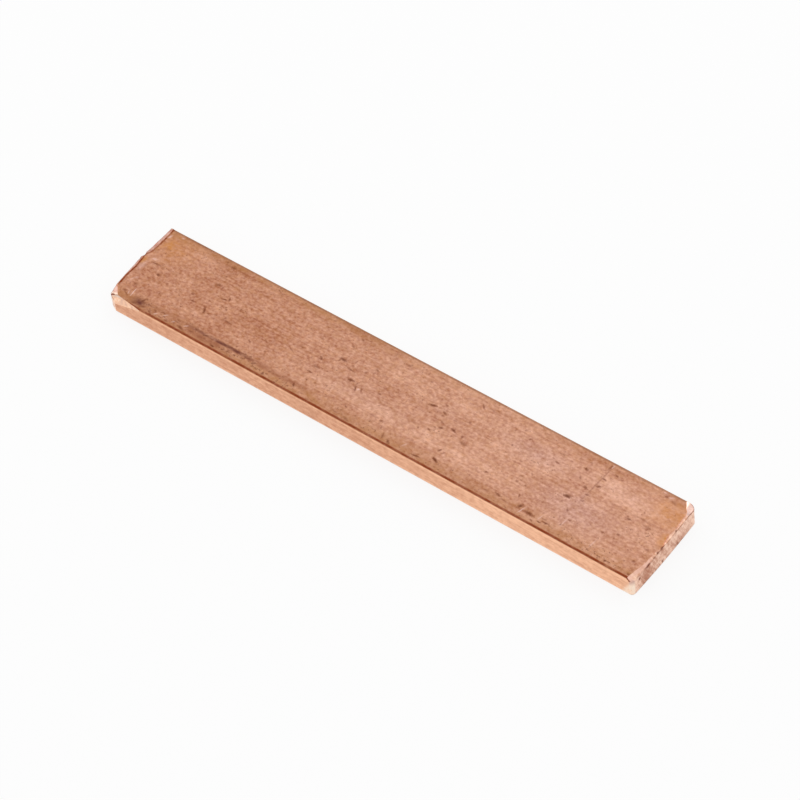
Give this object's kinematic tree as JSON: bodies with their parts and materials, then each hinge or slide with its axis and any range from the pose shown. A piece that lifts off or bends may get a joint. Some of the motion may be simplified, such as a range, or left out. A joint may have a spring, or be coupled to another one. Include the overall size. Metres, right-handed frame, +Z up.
{
  "type": "copper flat bar",
  "caption": "Short length of drawn copper flat bar with a sawn end, a ground end and hand-filed edges, raw stock for bus bars and brackets.",
  "frame": {"origin": "middle of the underside, where the bar rests on the floor", "axes": "+X along the bar from the sawn end to the ground end, +Y across its width, +Z up through its thickness"},
  "size_m": [0.15, 0.025, 0.005],
  "materials": {
    "drawn_copper": "dull drawn copper, slightly tarnished"
  },
  "bodies": {
    "root": {"flat_bar": "drawn_copper"}
  },
  "joints": []
}
